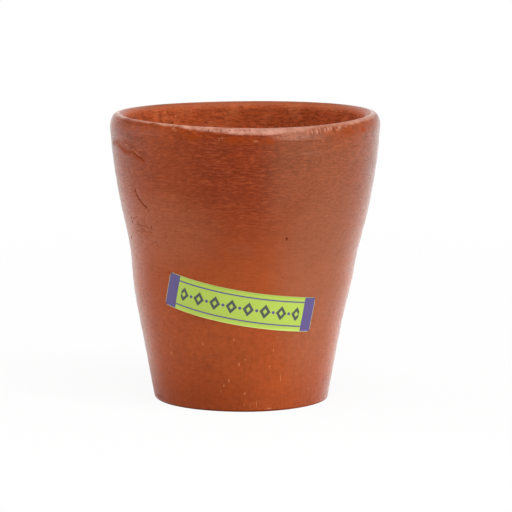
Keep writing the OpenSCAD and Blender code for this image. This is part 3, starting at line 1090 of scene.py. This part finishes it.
def dry_share(on, hollow, rust):
    """Where the clay is matt: in hollows, on rust and dark lines, on the lip, inside and at the foot."""
    dry = (hollow * 1.8).least(1.0).most(rust * 0.9).most((1 - on.line.step(0.3, 0.55)) * on.outside * 0.25)
    dry = dry.most(on.lip * (0.8 - 0.5 * on.side.size().step(*LIP_SIDES))).most(on.rough_inside * 0.8)
    return dry.most((1 - on.crease.step(0.2 * MM, 1.8 * MM)) * on.outside * 0.5).most(on.low_left_dark)


def clay_material(look, cup):
    """Fired clay with a brushed slip: cloudy tones, painted light, shade and sheen, wheel lines, pits, grit,
    scars and a rubbed lip.
    """
    material = new_material("terracotta")
    tree = material.node_tree
    on = ClayPlace(tree, cup)
    wheel, brush = wheel_lines(on), brush_streaks(on)
    pits, grit = pit_share(on), grit_share(on)
    rust, rub = rust_share(on), rub_share(on)
    hollow = pits.most(scar_share(on))
    smudge = on.mark(SMUDGE) * on.outside * on.mottle.step(0.3, 0.7) * SMUDGE_SHARE

    # The brightness carries painted light and shade on the sides and at the foot
    tone = inside_tone(on, look, slip_tone(on, look)).times(brightness(on, wheel, brush))
    tone = rust.mix(tone, rgba(look.rust))
    # Pale band on the lip: rubbed slip, partly a painted highlight from above
    tone = rub.mix(tone, rgba(look.worn))
    tone = chip_share(on).mix(tone, rgba(look.chip))
    tone = smudge.mix(tone, rgba(look.smudge))
    # Painted shade in pits, cracks and wrinkles, and painted shadow under the fold and at the foot
    tone = hollow.mix(tone, rgba(look.pit))
    tone = grit.mix(tone, rgba(look.speck))

    normal = bump(clay_bump(on, wheel, brush, pits, grit))
    roughness = look.roughness + on.mottle.swing() * 0.3 + on.rough_inside * 0.2
    smooth = add_node(
        tree, "ShaderNodeBsdfPrincipled", {},
        {"Base Color": tone, "Roughness": roughness, "Normal": normal, "Specular IOR Level": look.gloss,
         "Sheen Weight": look.dust, "Sheen Roughness": look.dust_spread,
         "Coat Weight": rub * look.rubbed_gloss, "Coat Roughness": look.rubbed_roughness},
    )
    matt = add_node(tree, "ShaderNodeBsdfDiffuse", {}, {"Color": tone, "Normal": normal})
    dry = dry_share(on, hollow, rust)
    finish_material(tree, add_node(tree, "ShaderNodeMixShader", {}, {0: dry, 1: smooth, 2: matt}))
    return material


def label_material(label):
    """Printed paper: a plain field, end bands, long lines, and a row of diamonds and dots."""
    material = new_material("label_paper")
    tree = material.node_tree
    u, v = add_node(tree, "ShaderNodeUVMap", {"uv_map": "flat"}, {}).parts()[:2]
    along, across = u.size(), v.size()
    end, edge = label.length / 2, label.height / 2

    def ink(distance):
        """1 where the distance past a printed edge is below 0, with a slight blur."""
        return 1 - distance.step(-INK_BLUR, INK_BLUR)

    def from_nearest(shift):
        """Distance along the label from the nearest of places one pitch apart."""
        return ((u / label.pitch + shift).math("FRACT") - 0.5) * label.pitch

    band = ink(end - label.band_length - along)
    line = ink((across - label.line_place).size() - label.line_width / 2) * (1 - band)
    off_diamond = from_nearest(0.0).size() + across * label.diamond_slope
    diamond = ink(off_diamond - label.diamond) * (1 - ink(off_diamond - label.diamond_hole))
    off_dot = from_nearest(0.5)
    dot = ink((off_dot * off_dot + v * v) ** 0.5 - label.dot)
    inner = ink(along - (end - label.margin))
    rim = (along - (end - BARE_RIM)).most(across - (edge - BARE_RIM))

    mottle = object_place(tree).times(PAPER_CELLS).noise(3.0)
    tone = (mottle * 0.25).mix(rgba(label.field), PAPER_SHADE)
    tone = (diamond * inner).mix(tone, rgba(label.print))
    for share in (dot * inner, line, band):
        tone = share.mix(tone, rgba(label.band))
    tone = rim.step(-BARE_RIM, BARE_RIM).mix(tone, rgba(label.core))
    normal = bump(mottle.swing() * PAPER_BUMP)
    roughness = label.roughness + mottle.swing() * 0.2
    inputs = {"Base Color": tone, "Roughness": roughness, "Normal": normal}
    finish_material(tree, add_node(tree, "ShaderNodeBsdfPrincipled", {}, inputs))
    return material


# Stage


def floor_material():
    """A white table that stays white to the camera and still takes the cup's shadow."""
    material = new_material("studio_floor")
    tree = material.node_tree
    table = add_node(tree, "ShaderNodeBsdfDiffuse", {}, {"Color": FLOOR_TONE})
    white = add_node(tree, "ShaderNodeEmission", {}, {"Color": WHITE, "Strength": 1.0})
    x, y = object_place(tree).parts()[:2]
    far = ((x * x + y * y) ** 0.5).step(*WHITE_GROWS)
    share = seen_ray(tree) * (NEAR_WHITE + (1 - NEAR_WHITE) * far)
    finish_material(tree, add_node(tree, "ShaderNodeMixShader", {}, {0: share, 1: table, 2: white}))
    return material


def seen_ray(tree):
    """1 for a ray that shows a surface, from the camera or in a reflection, and 0 for one that lights it."""
    camera, glossy, clear = [add_node(tree, "ShaderNodeLightPath", {}, {}, kind) for kind in SEEN_RAYS]
    return camera.most(glossy).most(clear)


def room_light(stage):
    """The world: white to the camera, and a soft room that is brighter behind the cup than before it."""
    world = bpy.data.worlds.new("studio")
    bpy.context.scene.world = world
    world.use_nodes = True
    tree = world.node_tree
    tree.nodes.clear()
    ray = seen_ray(tree)
    away = add_node(tree, "ShaderNodeTexCoord", {}, {}, DIRECTION).parts()[1]
    level = stage.front_level + (stage.back_level - stage.front_level) * away.step(*ROOM_CHANGE)
    level = ray.most(level * (1 - ray))
    background = add_node(tree, "ShaderNodeBackground", {}, {"Color": WHITE, "Strength": level})
    add_node(tree, "ShaderNodeOutputWorld", {}, {"Surface": background})


def soft_light(name, power, aim):
    """A rectangular soft light from the table, turned to a place."""
    width, tall, start = LIGHTS[name]
    lamp = bpy.data.lights.new("light_" + name, "AREA")
    lamp.shape = "RECTANGLE"
    lamp.size = width
    lamp.size_y = tall
    lamp.energy = power
    light = bpy.data.objects.new("light_" + name, lamp)
    light.location = start
    direction = Vector(aim) - Vector(start)
    light.rotation_euler = direction.to_track_quat("-Z", "Y").to_euler()
    bpy.context.scene.collection.objects.link(light)


# Operators


class KULHAD_OT_cup_body(Operator):
    """Throws the cup with its wall, lip, floor and foot"""

    bl_idname = "kulhad.cup_body"
    bl_label = "Throw the cup"

    def execute(self, context):
        settings = context.scene.kulhad
        points, low, high, share = cup_surface(settings.cup)
        rows = len(points)
        index = np.arange(rows * COLUMNS).reshape(rows, COLUMNS)
        ring = np.concatenate([index, index[:, :1]], axis=1)
        low_pole, high_pole = rows * COLUMNS, rows * COLUMNS + 1
        first, last = ring[0], ring[-1]
        low_fan = np.stack([np.full(COLUMNS, low_pole), first[1:], first[:-1]], axis=-1)
        high_fan = np.stack([np.full(COLUMNS, high_pole), last[:-1], last[1:]], axis=-1)
        every = np.concatenate([points.reshape(-1, 3), low[None], high[None]])
        material = clay_material(settings.clay, settings.cup)
        piece = make_piece("cup", every, [quads(ring), low_fan, high_fan], material)
        for name, values in share.items():
            store(piece, name, np.concatenate([values.ravel(), values[0, :1], values[-1, :1]]))
        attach(piece, "root")
        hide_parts("cup_body")
        return {"FINISHED"}


class KULHAD_OT_paper_label(Operator):
    """Sticks the printed paper label on the wall"""

    bl_idname = "kulhad.paper_label"
    bl_label = "Stick the label"

    def execute(self, context):
        settings = context.scene.kulhad
        label = settings.label
        (back, front), along, across = label_surface(label, settings.cup)
        count = back.shape[0] * back.shape[1]
        back_index = np.arange(count).reshape(back.shape[:2])
        front_index = back_index + count

        def edge(line):
            return quads(np.stack([back_index[line], front_index[line]]))

        faces = [
            quads(back_index), quads(front_index)[:, ::-1],
            edge(np.s_[:, 0])[:, ::-1], edge(np.s_[:, -1]), edge(np.s_[0, :]), edge(np.s_[-1, :])[:, ::-1],
        ]
        every = np.concatenate([back.reshape(-1, 3), front.reshape(-1, 3)])
        piece = make_piece("label", every, faces, label_material(label))
        flat = np.stack([along.ravel(), across.ravel()], axis=-1)
        flat = np.concatenate([flat, flat])
        corners = np.zeros(len(piece.data.loops), np.int32)
        piece.data.loops.foreach_get("vertex_index", corners)
        layer = piece.data.uv_layers.new(name="flat")
        layer.data.foreach_set("uv", flat[corners].astype(np.float32).ravel())
        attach(piece, "root")
        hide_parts("paper_label")
        return {"FINISHED"}


class KULHAD_OT_stage(Operator):
    """Sets up the floor, the room, the lights and the camera"""

    bl_idname = "kulhad.stage"
    bl_label = "Set up the studio"

    def execute(self, context):
        stage = context.scene.kulhad.stage
        corner = FLOOR_HALF * np.array([[-1, -1, 0], [1, -1, 0], [1, 1, 0], [-1, 1, 0]])
        floor = make_piece("floor", corner, [np.array([[0, 1, 2, 3]])], floor_material())
        room_light(stage)
        aim = (0, 0, CUP_HIGH.z / 2)
        soft_light("right", stage.right_power, aim)
        soft_light("left", stage.left_power, aim)
        soft_light("top", stage.top_power, aim)
        lens = bpy.data.cameras.new("camera")
        lens.lens = stage.lens
        lens.sensor_width = SENSOR_WIDTH
        camera = bpy.data.objects.new("camera", lens)
        camera.location = (stage.camera_aside, -stage.camera_away, stage.camera_height)
        camera.rotation_euler = (np.pi / 2 - stage.camera_pitch, 0, 0)
        context.scene.collection.objects.link(camera)
        context.scene.camera = camera
        context.scene.view_settings.view_transform = "Standard"
        return {"FINISHED"}


class KULHAD_PT_panel(Panel):
    """The kulhad's steps in the sidebar"""

    bl_label = "Clay kulhad"
    bl_space_type = "VIEW_3D"
    bl_region_type = "UI"
    bl_category = "Kulhad"

    def draw(self, context):
        for step in STEPS:
            self.layout.operator(step.bl_idname)


STEPS = [KULHAD_OT_cup_body, KULHAD_OT_paper_label, KULHAD_OT_stage]
CLASSES = [CupSizes, LabelSizes, ClayLook, StageLook, KulhadSettings, *STEPS, KULHAD_PT_panel]


def register():
    """Makes the classes known to Blender, and the settings part of each scene."""
    for made in CLASSES:
        bpy.utils.register_class(made)
    bpy.types.Scene.kulhad = PointerProperty(type=KulhadSettings)


def unregister():
    """Takes back what register has done."""
    del bpy.types.Scene.kulhad
    for made in reversed(CLASSES):
        bpy.utils.unregister_class(made)


def main():
    """Makes every piece and the studio."""
    register()
    bpy.ops.kulhad.cup_body()
    bpy.ops.kulhad.paper_label()
    bpy.ops.kulhad.stage()


if __name__ == "__main__":
    main()
